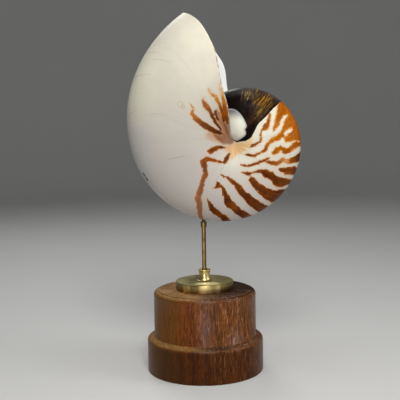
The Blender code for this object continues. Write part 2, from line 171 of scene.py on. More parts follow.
# Broad stripes as outlines: tone at the inner end and at the keel, and the outline as
# (degrees back, share); a share of 1 is the keel, where both sides meet
# Their tones, darker on the lower stripes and towards the keel, are partly the stripes' own colour and
# partly painted shade where the whorl turns down away from the light.
PATCHES = [
    ((0.95, 0.85), [(302.5, .779), (297.9, .704), (294.9, .652), (290.5, .601), (285.0, .542),
      (281.3, .515), (279.2, .517), (279.9, .543), (282.9, .594), (284.2, .632), (287.2, .663),
      (289.3, .7), (290.3, .734), (289.8, .777), (290.2, .838), (288.5, .796), (286.8, .731),
      (283.4, .685), (279.6, .648), (275.8, .611), (273.5, .552), (270.8, .489), (266.8, .449),
      (262.6, .459), (265.1, .494), (265.1, .534), (266.3, .58), (268.6, .594), (269.1, .618),
      (267.5, .632), (264.5, .633), (263.2, .654), (263.5, .702), (264.3, .748), (264.6, .807),
      (262.0, 1.0), (305.0, 1.0)]),
    ((0.85, 0.6), [(263.6, .806), (262.5, 1.0), (259.6, 1.0), (259.5, .905), (258.1, .823),
      (255.5, .754), (253.1, .706), (250.9, .676), (250.0, .643), (251.5, .617), (253.5, .595),
      (252.6, .568), (249.7, .56), (247.4, .524), (247.2, .475), (250.9, .478), (255.6, .498),
      (257.8, .532), (259.2, .57), (259.5, .602), (258.0, .628), (256.8, .654), (257.9, .686),
      (260.5, .713), (262.2, .753)]),
    ((0.6, 0.25), [(256.4, 1.0), (253.3, .881), (251.7, .83), (249.3, .761), (246.9, .714),
      (244.7, .705), (242.8, .71), (242.3, .733), (243.0, .78), (244.1, .838), (245.7, .895),
      (245.4, 1.0)]),
    ((0.55, 0.35), [(232.5, .622), (235.0, .635), (237.0, .672), (238.7, .734), (240.3, .789),
      (241.8, .834), (240.8, 1.0), (233.5, 1.0), (233.8, .848), (232.5, .81), (231.3, .749),
      (231.4, .694), (231.5, .656), (232.0, .628)]),
    ((0.4, 0.35), [(211.2, .398), (216.0, .41), (221.2, .442), (224.8, .484), (226.1, .532),
      (226.6, .591), (226.0, .632), (226.4, .689), (227.5, .743), (229.1, .808), (230.4, 1.0),
      (225.3, 1.0), (224.2, .899), (222.5, .844), (219.9, .819), (217.6, .775), (216.8, .724),
      (216.5, .673), (217.8, .638), (217.2, .594), (215.9, .544), (215.5, .5), (215.5, .457),
      (213.0, .433), (210.4, .417)]),
    ((0.42, 0.22), [(196.3, .416), (201.2, .412), (204.0, .44), (205.1, .486), (206.0, .542),
      (208.5, .584), (209.8, .649), (211.7, .718), (214.1, .77), (216.7, .802), (219.0, .841),
      (221.8, 1.0), (205.3, 1.0), (204.2, .875), (202.7, .791), (201.3, .734), (200.1, .674),
      (199.5, .615), (197.9, .564), (196.4, .512), (195.2, .466), (195.6, .427)]),
    ((0.35, 0.28), [(147.5, .316), (152.9, .317), (158.7, .33), (165.5, .332), (170.6, .362),
      (175.2, .384), (180.5, .423), (184.1, .47), (186.0, .527), (189.3, .58), (192.5, .636),
      (195.5, .704), (198.1, .781), (199.6, .83), (200.8, 1.0), (192.3, 1.0), (189.4, .795),
      (187.8, .759), (185.3, .702), (183.7, .636), (181.9, .592), (178.8, .554), (176.1, .494),
      (174.0, .437), (170.7, .408), (165.7, .4), (165.0, .374), (161.0, .354), (155.8, .342),
      (152.1, .333)]),
    ((0.42, 0.3), [(147.2, .394), (151.0, .403), (155.2, .423), (159.8, .44), (163.7, .48),
      (165.4, .522), (168.8, .562), (172.7, .618), (175.6, .672), (178.7, .723), (182.2, .786),
      (183.9, .822), (186.6, 1.0), (178.5, 1.0), (176.9, .849), (173.7, .79), (171.0, .737),
      (169.0, .7), (165.5, .678), (163.5, .641), (162.7, .602), (162.0, .564), (160.0, .528),
      (157.7, .482), (156.0, .458), (151.2, .474), (146.2, .482), (145.5, .476), (148.7, .456),
      (148.8, .427)]),
    ((0.35, 0.33), [(144.7, .577), (146.8, .587), (149.7, .618), (154.0, .666), (157.8, .692),
      (161.5, .74), (165.2, .784), (167.5, .804), (171.0, 1.0), (164.0, 1.0), (161.5, .83),
      (159.0, .794), (155.8, .778), (152.6, .74), (149.9, .683), (148.1, .646), (146.2, .612)]),
]
# Pale spots inside the broad stripes
SPOTS = [[(272.5, .667, 2.8), (274.2, .717, 3.1), (275.6, .776, 2.0)]]
# Black film over the older whorl in front of the mouth
FILM_EDGE = [
    (303.5, 1.0), (302.9, .927), (302.7, .771), (302.6, .67), (301.9, .598), (301.0, .538),
    (300.8, .47), (300.0, .408), (297.3, .351), (291.5, .294), (283.5, .241), (278.4, .186),
    (274.2, .1), (272.0, 0.0)]
# Soft zones, the white pad's outline and the film's edge at the navel, as (x, z) in mm from the axis
# of coiling in the plane of the coil
FAN_ZONE = [
    (-2.4, -.1), (1.2, 1.6), (.2, 4.0), (-1.6, 6.4), (-2.1, 13.1), (-2.3, 20.2), (-2.6, 26.9),
    (-3.4, 32.2), (-5.1, 34.2), (-6.8, 31.6), (-7.8, 27.0), (-9.6, 25.5), (-10.4, 28.6), (-11.6, 28.3),
    (-12.3, 24.8), (-11.6, 21.8), (-13.6, 22.3), (-14.6, 24.9), (-16.1, 24.9), (-14.9, 21.1),
    (-13.3, 18.8), (-11.3, 15.3), (-9.5, 12.1), (-10.3, 10.8), (-12.9, 12.2), (-16.4, 11.5),
    (-15.7, 9.5), (-14.3, 7.1), (-12.8, 5.1), (-10.7, 2.7), (-7.8, .1)]
DASH_ZONE = [
    (-6.2, -1.2), (-8.1, -.5), (-10.8, -.4), (-13.8, -.9), (-16.9, -1.9), (-18.4, -3.2), (-19.7, -4.5),
    (-18.5, -6.0), (-17.2, -7.9), (-15.9, -6.4), (-14.0, -5.2), (-11.9, -4.3), (-10.0, -3.4),
    (-7.7, -3.1), (-5.6, -2.8)]
SMOKE_ZONE = [
    (-19.0, 11.5), (-14.9, 11.1), (-10.4, 8.6), (-8.3, 3.7), (-9.2, .2), (-13.7, 2.0), (-18.1, 4.1),
    (-21.1, 6.9)]
TAN_ZONE = [
    (-9.5, -2.6), (-6.0, -.6), (-3.1, .2), (1.9, 1.5), (5.6, 1.4), (10.4, 2.4), (13.2, 5.0),
    (14.8, 5.8), (16.4, 4.6), (15.2, 1.8), (14.0, -1.3), (11.6, -4.0), (8.0, -6.4), (4.0, -8.3),
    (1.6, -9.1), (-.7, -12.1), (-2.4, -12.1), (-3.3, -7.4), (-5.0, -5.4), (-6.6, -4.0)]
PAD_ZONE = [
    (-2.8, 28.5), (-.4, 28.2), (1.9, 27.7), (3.9, 26.4), (6.1, 24.4), (7.8, 22.3), (9.2, 19.9),
    (10.4, 17.5), (11.2, 15.2), (11.2, 13.4), (10.2, 12.4), (9.9, 11.5), (10.6, 10.1), (10.7, 8.6),
    (10.0, 6.8), (8.2, 5.6), (6.2, 4.2), (4.1, 2.9), (2.0, 2.8), (-.1, 4.0), (-1.6, 6.0), (-4.5, 8.0),
    (-7.5, 11.5), (-7.7, 17.8), (-6.8, 24.9)]
GOLD_ZONE = [
    (10.6, 40.4), (15.3, 41.2), (20.1, 40.5), (24.9, 39.2), (29.6, 38.3), (31.9, 35.6), (29.9, 32.2),
    (27.1, 28.7), (24.3, 24.4), (22.4, 20.5), (20.0, 22.9), (20.1, 28.4), (18.1, 32.3), (15.4, 34.8),
    (11.4, 36.0)]
NAVEL_ZONE = [
    (-6.0, -6.0), (-3.0, 7.5), (-1.0, 4.8), (.6, 3.0), (1.8, 2.1), (4.1, 1.6), (6.2, 2.1), (8.3, 2.4),
    (11.0, 2.6), (12.5, 2.6), (13.0, -6.0)]


# Tones of the stripes from dark to golden
STRIPE_TONES = ((0.0, (0.045, 0.009, 0.002)), (0.24, (0.115, 0.027, 0.003)), (0.46, (0.225, 0.057, 0.004)),
                (0.66, (0.365, 0.096, 0.001)), (0.84, (0.460, 0.165, 0.013)), (1.0, (0.620, 0.360, 0.130)))
# Small stains on the near side: kind, colour, strength and marks as (x, z, x, z, half width) or
# (x, z, radius, half width), in mm
STAINS = [
    ("line", (0.150, 0.120, 0.105), 0.38, [
        (-26.7, 176.1, -23.2, 176.7, 0.22), (-23.2, 176.7, -14.8, 178.8, 0.26),
        (9.4, 158.1, 13.4, 163.5, 0.16), (13.4, 163.5, 16.7, 171.2, 0.14),
        (-54.9, 240.6, -47.7, 242.3, 0.22), (-47.7, 242.3, -39.7, 242.5, 0.16),
        (-59.0, 208.7, -57.0, 212.3, 0.26), (-57.0, 212.3, -51.9, 214.9, 0.20)]),
    ("line", (0.200, 0.170, 0.150), 0.25, [
        (-38.4, 254.0, -30.2, 253.2, 0.20), (-30.2, 253.2, -23.7, 250.7, 0.24),
        (-40.6, 210.8, -34.2, 211.9, 0.20), (-34.2, 211.9, -26.3, 210.3, 0.20)]),
    ("line", (0.020, 0.016, 0.014), 0.98, [
        (-48.2, 164.2, -46.9, 161.9, 0.52), (-46.0, 160.5, -44.8, 158.4, 0.60)]),
    ("ring", (0.420, 0.370, 0.130), 0.40, [(-16.6, 218.6, 2.1, 0.42), (-14.6, 216.4, 1.3, 0.60)]),
]


def natural_spline(knots, values, x):
    """Smooth curve through the knots, with no bend at its two ends."""
    knots, values = np.asarray(knots, float), np.asarray(values, float)
    h = np.diff(knots)
    slope = np.diff(values) / h
    count = len(knots)
    system, right = np.eye(count), np.zeros(count)
    for k in range(1, count - 1):
        system[k, k - 1:k + 2] = h[k - 1], 2 * (h[k - 1] + h[k]), h[k]
        right[k] = 6 * (slope[k] - slope[k - 1])
    bend = np.linalg.solve(system, right)
    k = np.clip(np.searchsorted(knots, x) - 1, 0, count - 2)
    a, b = (knots[k + 1] - x) / h[k], (x - knots[k]) / h[k]
    curve = (a ** 3 - a) * bend[k] + (b ** 3 - b) * bend[k + 1]
    return a * values[k] + b * values[k + 1] + curve * h[k] ** 2 / 6


def outer_radius(back):
    """Outer radius of the coil at an angle back from the mouth."""
    knots = [EIGHTH * k for k in range(len(OUTER_RADII))]
    logs = np.log(OUTER_RADII)
    shrink = (logs[0] - logs[-1]) / TURN
    inside = natural_spline(knots, logs, np.clip(back, 0, TURN))
    before = (logs[0] - logs[1]) / EIGHTH * np.clip(-back, 0, None)
    beyond = -shrink * np.clip(back - TURN, 0, None)
    return np.exp(inside + before + beyond)


def flank_rise(share):
    """Rise of the flank from 0 at the navel to 1 at the widest line."""
    return (1 - np.cos(math.pi * share ** HOLLOW_POWER)) / 2


def flank_half_width(radius, rho):
    """Half width of a whorl between its navel and its widest line."""
    share = np.clip((rho - PLUG_RADIUS) / (WIDEST_AT * radius - PLUG_RADIUS), 0, 1)
    return PLUG_HALF_WIDTH + (HALF_WIDTH * radius - PLUG_HALF_WIDTH) * flank_rise(share)


FLANK_SHARES = np.linspace(0, 1, FLANK_STEPS + 1)[:-1] ** 1.25
OUTER_ANGLES = np.linspace(0, math.pi / 2, OUTER_STEPS + 1)
OUTER_SIN = np.sin(OUTER_ANGLES) ** (2 / ROUNDNESS)
OUTER_COS = np.clip(np.cos(OUTER_ANGLES), 0, 1) ** (2 / ROUNDNESS)
OUTER_COS[-1] = 0


def half_section(radius, start_rho, start_y, wall):
    """Half sections of the whorl: radius has a row per station and a column per line along the whorl."""
    flank = len(FLANK_SHARES)
    widest, half_width = WIDEST_AT * radius, HALF_WIDTH * radius - wall
    flank_rho = start_rho + (widest[:, :flank] - start_rho) * FLANK_SHARES
    flank_y = start_y + (half_width[:, :flank] - start_y) * flank_rise(FLANK_SHARES)
    outer_rho = widest[:, flank:] + (radius - wall - widest)[:, flank:] * OUTER_SIN
    outer_y = half_width[:, flank:] * OUTER_COS
    return np.concatenate([flank_rho, outer_rho], 1), np.concatenate([flank_y, outer_y], 1)


COLUMNS = len(FLANK_SHARES) + len(OUTER_ANGLES)
MOUTH_RHO, _ = half_section(np.full((1, COLUMNS), OUTER_RADII[0]), PLUG_RADIUS, PLUG_HALF_WIDTH, 0.0)
MOUTH_SHARE = MOUTH_RHO[0] / OUTER_RADII[0]
LIP_SHIFT = natural_spline(LIP_AT, LIP_BACK, np.clip(MOUTH_SHARE, LIP_AT[0], 1))
NEAR_LIP, FAR_LIP = (LIP_SHIFT + np.radians(np.interp(MOUTH_SHARE, *np.transpose(more)))
                     for more in (NEAR_LIP_MORE, FAR_LIP_MORE))


def section_table(radius, steps=TABLE_STEPS):
    """Points of one half section, with the share of its length from the navel to each."""
    widest = WIDEST_AT * radius
    rho = np.linspace(PLUG_RADIUS, widest, steps)
    half = flank_half_width(radius, rho)
    angle = np.linspace(0, math.pi / 2, steps)[1:]
    rho = np.concatenate([rho, widest + (radius - widest) * np.sin(angle) ** (2 / ROUNDNESS)])
    half = np.concatenate([half, HALF_WIDTH * radius * np.clip(np.cos(angle), 0, 1) ** (2 / ROUNDNESS)])
    length = np.concatenate([[0], np.cumsum(np.hypot(np.diff(rho), np.diff(half)))])
    return rho, half, length / length[-1]


def surface_point(back, share):
    """Point of the near side at degrees back from the mouth and a share of the way to the keel."""
    rho_table, half_table, share_table = section_table(float(outer_radius(math.radians(back))))
    rho, half = np.interp(share, share_table, rho_table), np.interp(share, share_table, half_table)
    direction = MOUTH_DIRECTION + math.radians(back)
    return rho * math.cos(direction), -half, rho * math.sin(direction)


def column_shares(radius):
    """Share of the way from navel to keel for every point of the outside grid."""
    sizes = np.linspace(30.0 * MM, 130.0 * MM, 40)
    quarter = np.linspace(0, math.pi / 2, TABLE_STEPS)
    shares = np.empty((len(sizes), COLUMNS))
    flank = len(FLANK_SHARES)
    for k, size in enumerate(sizes):
        rho, _, share = section_table(size)
        rho_here, _ = half_section(np.full((1, COLUMNS), size), PLUG_RADIUS, PLUG_HALF_WIDTH, 0.0)
        shares[k] = np.interp(rho_here[0], rho, share)
        shares[k, flank:] = np.interp(OUTER_ANGLES, quarter, share[TABLE_STEPS - 1:])
    return np.stack([np.interp(radius[:, c], sizes, shares[:, c]) for c in range(COLUMNS)], 1)


def pad_height(rho, direction, back):
    """Extra half width given by the white pad beside the mouth's edge."""
    x = (rho * np.cos(direction) - PAD_CENTRE[0]) / PAD_HALF_SIZE[0]
    z = (rho * np.sin(direction) - PAD_CENTRE[1]) / PAD_HALF_SIZE[1]
    dome = np.clip(1 - x * x - z * z, 0, 1) ** PAD_ROUNDNESS
    leave_plug = np.sin(math.pi / 2 * np.clip((rho - PLUG_RADIUS) / PAD_FADE, 0, 1))
    return np.where(back > TURN / 2, PAD_HEIGHT * dome * leave_plug, 0)


def turned_back(x, y, z, angle):
    """Points turned about the coil's axis."""
    return np.stack([x * np.cos(angle) - z * np.sin(angle), y, x * np.sin(angle) + z * np.cos(angle)], -1)


def both_sides(near_grid, far_grid=None):
    """A value per column of the near half, mirrored for the far half."""
    far_grid = near_grid if far_grid is None else far_grid
    return np.concatenate([near_grid, far_grid[:, ::-1][:, 1:]], 1)


def whorl(back, start_rho, start_y, wall, padded):
    """Grid of points of the whorl at the angles back, with the angle and half width of each."""
    sides = []
    for lip, side in ((NEAR_LIP, -1), (FAR_LIP, 1)):
        angle = back[:, None] + lip[None, :]
        radius = outer_radius(angle)
        rho, half = half_section(radius, start_rho[:, None], start_y[:, None], wall[:, None])
        direction = MOUTH_DIRECTION + angle
        pad = pad_height(rho, direction, angle) if padded else np.zeros_like(rho)
        x, z = rho * np.cos(direction), rho * np.sin(direction)
        sides.append({"angle": angle, "radius": radius, "bare": np.stack([x, -half, z], -1),
                      "points": np.stack([x, side * (half + pad), z], -1)})
    near, far = sides
    return {"points": both_sides(near["points"], far["points"]), "near": near, "far": far}


def segments_value(points, path, widths):
    """Half a path's width less the distance to it for every point, and how far along it is nearest."""
    best, where = np.full(len(points), -1.0), np.zeros(len(points))
    for k in range(len(path) - 1):
        along = path[k + 1] - path[k]
        t = np.clip((points - path[k]) @ along / max(along @ along, 1e-12), 0, 1)
        distance = np.linalg.norm(points - path[k] - t[:, None] * along, axis=1)
        value = (widths[k] + (widths[k + 1] - widths[k]) * t) / 2 - distance
        where = np.where(value > best, (k + t) / (len(path) - 1), where)
        best = np.maximum(best, value)
    return best, where


def stroke_value(points, back, stroke):
    """Signed distance into a stroke, in metres, positive inside, and the share of its length there."""
    keys = np.array(stroke, float)
    fine = np.linspace(0, len(keys) - 1, 4 * (len(keys) - 1) + 1)
    keys = np.stack([natural_spline(range(len(keys)), keys[:, c], fine) for c in range(3)], 1)
    keys[:, 1] = np.clip(keys[:, 1], 0, 1)
    path = np.array([surface_point(b, s) for b, s, _ in keys])
    value, where = np.full(len(points), -1.0), np.zeros(len(points))
    here = (back > keys[:, 0].min() - REACH) & (back < keys[:, 0].max() + REACH)
    value[here], where[here] = segments_value(points[here], path, np.clip(keys[:, 2], 0.1, None) * MM)
    return value, where


def rounded_outline(outline):
    """The outline with its corners cut twice, apart from corners on the keel."""
    for _ in range(2):
        cut = []
        for k, here in enumerate(outline):
            before, after = outline[k - 1], outline[(k + 1) % len(outline)]
            if here[1] >= 1:
                cut.append(here)
                continue
            for other in (before, after):
                cut.append(tuple((1 - CORNER_CUT) * h + CORNER_CUT * o for h, o in zip(here, other)))
        outline = cut
    return outline


def is_inside(x, y, corners):
    """Whether each point lies in an outline."""
    inside = np.zeros(len(x), bool)
    for (x0, y0), (x1, y1) in zip(np.roll(corners, 1, 0), corners):
        if y0 != y1:
            inside ^= ((y0 > y) != (y1 > y)) & (x < x0 + (y - y0) * (x1 - x0) / (y1 - y0))
    return inside


def patch_value(points, back, share, outline):
    """Signed distance into an outline, in metres, positive inside. Its run along the keel is no edge."""
    outline = rounded_outline(outline)
    keys = np.array(outline)
    value = np.full(len(points), -1.0)
    here = (back > keys[:, 0].min() - REACH) & (back < keys[:, 0].max() + REACH)
    p, b, s = points[here], back[here], np.minimum(share[here], 0.9995)   # just off the keel
    path = np.array([surface_point(*k) for k in outline])
    distance = np.full(len(p), 1.0)
    for k in range(len(keys)):
        if min(keys[k - 1][1], keys[k][1]) < 1:
            distance = np.minimum(distance, -segments_value(p, path[[k - 1, k]], np.zeros(2))[0])
    value[here] = np.where(is_inside(b, s, keys), distance, -distance)
    return value


def zone_value(points, outline):
    """Signed distance into an outline in the plane of the coil, in metres, positive inside."""
    corners = np.array(outline) * MM
    flat = points[:, ::2]
    ring = np.concatenate([corners, corners[:1]])
    edge = -segments_value(flat, ring, np.zeros(len(ring)))[0]
    return np.where(is_inside(*flat.T, corners), edge, -edge)


def markings(points, back, share):
    """Signed distances and tones of all markings for points of one side, given as near-side points."""
    value, weights = np.full(len(points), -1.0), np.zeros(len(points))
    tones, faded = np.zeros(len(points)), np.zeros(len(points))
    shapes = []
    for (start, end, fade), path in STROKES:
        shape, where = stroke_value(points, back, path)
        shapes.append((shape, start + (end - start) * where, fade * where ** 2))
    for (inner, keel), outline in PATCHES:
        first = min(s for _, s in outline)
        rise = np.clip((share - first) / (1 - first), 0, 1)
        shapes.append((patch_value(points, back, share, outline), inner + (keel - inner) * rise, 0.0))
    dash = zone_value(points, DASH_ZONE)
    shapes.append((dash, np.interp(-points[:, 0] / MM, (6.0, 20.0), (0.20, 0.60)), 0.0))
    for shape, tone, fade in shapes:
        value = np.maximum(value, shape)
        weight = np.exp(np.clip(shape / MM, -12, 3) * 2)
        weights += weight
        tones += tone * weight
        faded += fade * weight
    for path in SPOTS:
        value = np.minimum(value, -stroke_value(points, back, path)[0])
    film_outline = FILM_EDGE + [(400.0, 0.0), (400.0, 1.0)]
    film = np.minimum(patch_value(points, back, share, film_outline), -zone_value(points, NAVEL_ZONE))
    weights = np.maximum(weights, 1e-12)
    layers = {"tone": tones / weights, "faded": faded / weights}
    distances = {"stripe": value, "film": film, "brown": zone_value(points, FAN_ZONE),
                 "smoke": zone_value(points, SMOKE_ZONE), "tan": zone_value(points, TAN_ZONE),
                 "gold": zone_value(points, GOLD_ZONE),
                 "pad": np.where(back > 180, zone_value(points, PAD_ZONE), -1.0)}
    layers.update({k: np.clip(v / MM, -FAR_OFF, FAR_OFF) for k, v in distances.items()})
    return layers


def outside_layers(grid):
    """Marking values for the outside grid, the far side with its markings shifted a little."""
    side = grid["near"]
    near_share = column_shares(side["radius"])
    back = np.degrees(side["angle"])
    near = markings(side["bare"].reshape(-1, 3), back.reshape(-1), near_share.reshape(-1))
    side = grid["far"]
    back, share = np.degrees(side["angle"]), column_shares(side["radius"])
    fade = (1 - share) ** 0.7
    shift = fade * sum(size * np.sin(per_degree * back + per_share * share + start)
                       for size, per_degree, per_share, start in FAR_SHIFTS)
    swing = np.radians(shift)
    scale = outer_radius(side["angle"] + swing) / side["radius"]
    x, y, z = (side["bare"][..., k] * scale for k in range(3))
    moved = turned_back(x, y, z, swing).reshape(-1, 3)
    far = markings(moved, (back + shift).reshape(-1), share.reshape(-1))
    shape = back.shape
    layers = {k: both_sides(near[k].reshape(shape), far[k].reshape(shape)) for k in near}
    layers["across"] = both_sides(near_share, 2 - share)
    layers["growth"] = both_sides(np.degrees(grid["near"]["angle"] - NEAR_LIP[None, :]))
    layers["turn"] = both_sides(np.degrees(grid["near"]["angle"]), np.degrees(grid["far"]["angle"]))
    layers["nacre"] = np.zeros_like(layers["growth"])
    return layers


DISTANCES = ("stripe", "film", "brown", "smoke", "tan", "gold", "pad")
LAYERS = DISTANCES + ("tone", "faded", "across", "growth", "turn", "nacre")


def plain_layers(shape, **values):
    """Layers of constant value, unless a grid is given."""
    layers = {k: np.full(shape, -FAR_OFF if k in DISTANCES else 0.0) for k in LAYERS}
    for k, v in values.items():
        layers[k] = np.broadcast_to(v, shape).astype(float)
    return layers


def partition_points(roof, floor):
    """Dished wall that closes the chamber, from the roof's last row to the floor's."""
    across = np.linspace(-1, 1, roof.shape[0])
    rows = []
    for step in np.linspace(0, 1, PARTITION_STEPS + 1):
        row = roof * (1 - step) + floor * step
        dish = PARTITION_DEPTH * 4 * step * (1 - step) * (1 - across ** 2)
        turn = dish / np.maximum(np.hypot(row[:, 0], row[:, 2]), PARTITION_DEPTH)
        rows.append(turned_back(*row.T, turn))
    return np.array(rows)


def lip_points(outside_row, roof_row, ahead):
    """Rounded edge of the mouth from the outside's first row to the inside's."""
    rows = []
    for step in np.linspace(0, 1, LIP_ROWS + 2):
        row = outside_row * (1 - step) + roof_row * step
        rows.append(row + ahead * math.sin(math.pi * step))
    return np.array(rows)


def shell_grids():
    """Every grid of the shell's surface with its layers."""
    start, end = STRIPED
    span = [EDGE_ROWS, np.arange(PLAIN_ROW_DEGREES, start, PLAIN_ROW_DEGREES),
            np.arange(start, end, ROW_DEGREES), np.arange(end, 360, PLAIN_ROW_DEGREES), [360.0]]
    around = np.radians(np.concatenate(span))
    ones = np.ones(len(around))
    outside = whorl(around, ones * PLUG_RADIUS, ones * PLUG_HALF_WIDTH, ones * 0, True)
    layers = outside_layers(outside)
    depth = np.radians(np.arange(0, math.degrees(CHAMBER_LENGTH) + 0.1, INSIDE_ROW_DEGREES))
    grown = np.clip(depth / CORNER_GROWS_OVER, 0, 1)
    corner_rho = PLUG_RADIUS + CORNER_RADIUS * grown * (2 - grown)
    corner_y = flank_half_width(outer_radius(depth + TURN + LIP_SHIFT[0]), corner_rho)
    wall = LIP_THICKNESS + (WALL_THICKNESS - LIP_THICKNESS) * np.clip(depth / WALL_GROWS_OVER, 0, 1)
    roof = whorl(depth, corner_rho, corner_y, wall, False)["points"]
    floor_grid = whorl(depth + TURN, corner_rho, corner_y, wall * 0, True)
    floor = floor_grid["points"]
    pad = np.clip(zone_value(floor.reshape(-1, 3), PAD_ZONE) / MM, -FAR_OFF, FAR_OFF)
    pad = pad.reshape(floor.shape[:2])
    floor[:, 0], floor[:, -1] = roof[:, 0], roof[:, -1]
    shape = roof.shape[:2]
    growth = np.degrees(depth)[:, None]
    across = both_sides(column_shares(floor_grid["near"]["radius"]))
    turn = both_sides(*(np.degrees(floor_grid[side]["angle"]) for side in ("near", "far")))
    floor_layers = plain_layers(shape, film=FAR_OFF, growth=growth + 360, turn=turn, pad=pad, across=across)
    ahead = outside["points"][0] - outside["points"][1]
    ahead *= 0.45 * LIP_THICKNESS / np.maximum(np.linalg.norm(ahead, axis=1, keepdims=True), MERGE)
    lip = lip_points(outside["points"][0], roof[0], ahead)
    lip_share = np.linspace(0, 1, lip.shape[0])[:, None]
    lip_layers = plain_layers(lip.shape[:2], nacre=lip_share, growth=0.0, across=layers["across"][:1])
    for key in ("stripe", "tone", "faded", "brown", "smoke", "tan"):
        lip_layers[key] = np.broadcast_to(layers[key][:1], lip.shape[:2]).copy()
    partition = partition_points(roof[-1], floor[-1])
    grids = [(outside["points"], layers), (lip, lip_layers),
             (roof, plain_layers(shape, nacre=1.0, growth=growth, across=across)), (floor, floor_layers),
             (partition, plain_layers(partition.shape[:2], nacre=1.0))]
    rings = np.linspace(0, PLUG_RADIUS, PLUG_RINGS + 1)
    direction = MOUTH_DIRECTION + around[:, None] + LIP_SHIFT[0]
    for side, column in ((-1, 0), (1, -1)):
        half = side * (PLUG_HALF_WIDTH - PLUG_DISH * (1 - (rings / PLUG_RADIUS) ** 2))
        y = np.broadcast_to(half, (len(around), len(rings)))
        points = np.stack([rings * np.cos(direction), y, rings * np.sin(direction)], -1)
        plug = {k: np.broadcast_to(v[:, column:][:, :1], y.shape) for k, v in layers.items()}
        grids.append((points, plug))
    return grids


def finished_mesh(name, bm, mesh=None):
    """The bmesh as a mesh: welded, with its faces turned outwards and smooth."""
    mesh = mesh or bpy.data.meshes.new(name)
    bmesh.ops.remove_doubles(bm, verts=bm.verts, dist=MERGE)
    bmesh.ops.recalc_face_normals(bm, faces=bm.faces)
    bm.to_mesh(mesh)
    bm.free()
    mesh.shade_smooth()
    return mesh


def mesh_from_grids(name, grids):
    """One welded mesh from grids of points, with their layers as point attributes."""
    verts, faces, start = [], [], 0
    for points, _ in grids:
        rows, columns = points.shape[:2]
        verts.append(points.reshape(-1, 3))
        index = start + np.arange(rows * columns).reshape(rows, columns)
        quads = np.stack([index[:-1, :-1], index[:-1, 1:], index[1:, 1:], index[1:, :-1]], -1)
        faces.append(quads.reshape(-1, 4))
        start += rows * columns
    mesh = bpy.data.meshes.new(name)
    mesh.from_pydata(np.concatenate(verts).tolist(), [], np.concatenate(faces).tolist())
    for key in LAYERS:
        values = np.concatenate([np.asarray(layers[key], float).reshape(-1) for _, layers in grids])
        mesh.attributes.new(key, "FLOAT", "POINT").data.foreach_set("value", values.astype(np.float32))
    bm = bmesh.new()
    bm.from_mesh(mesh)
    return finished_mesh(name, bm, mesh)


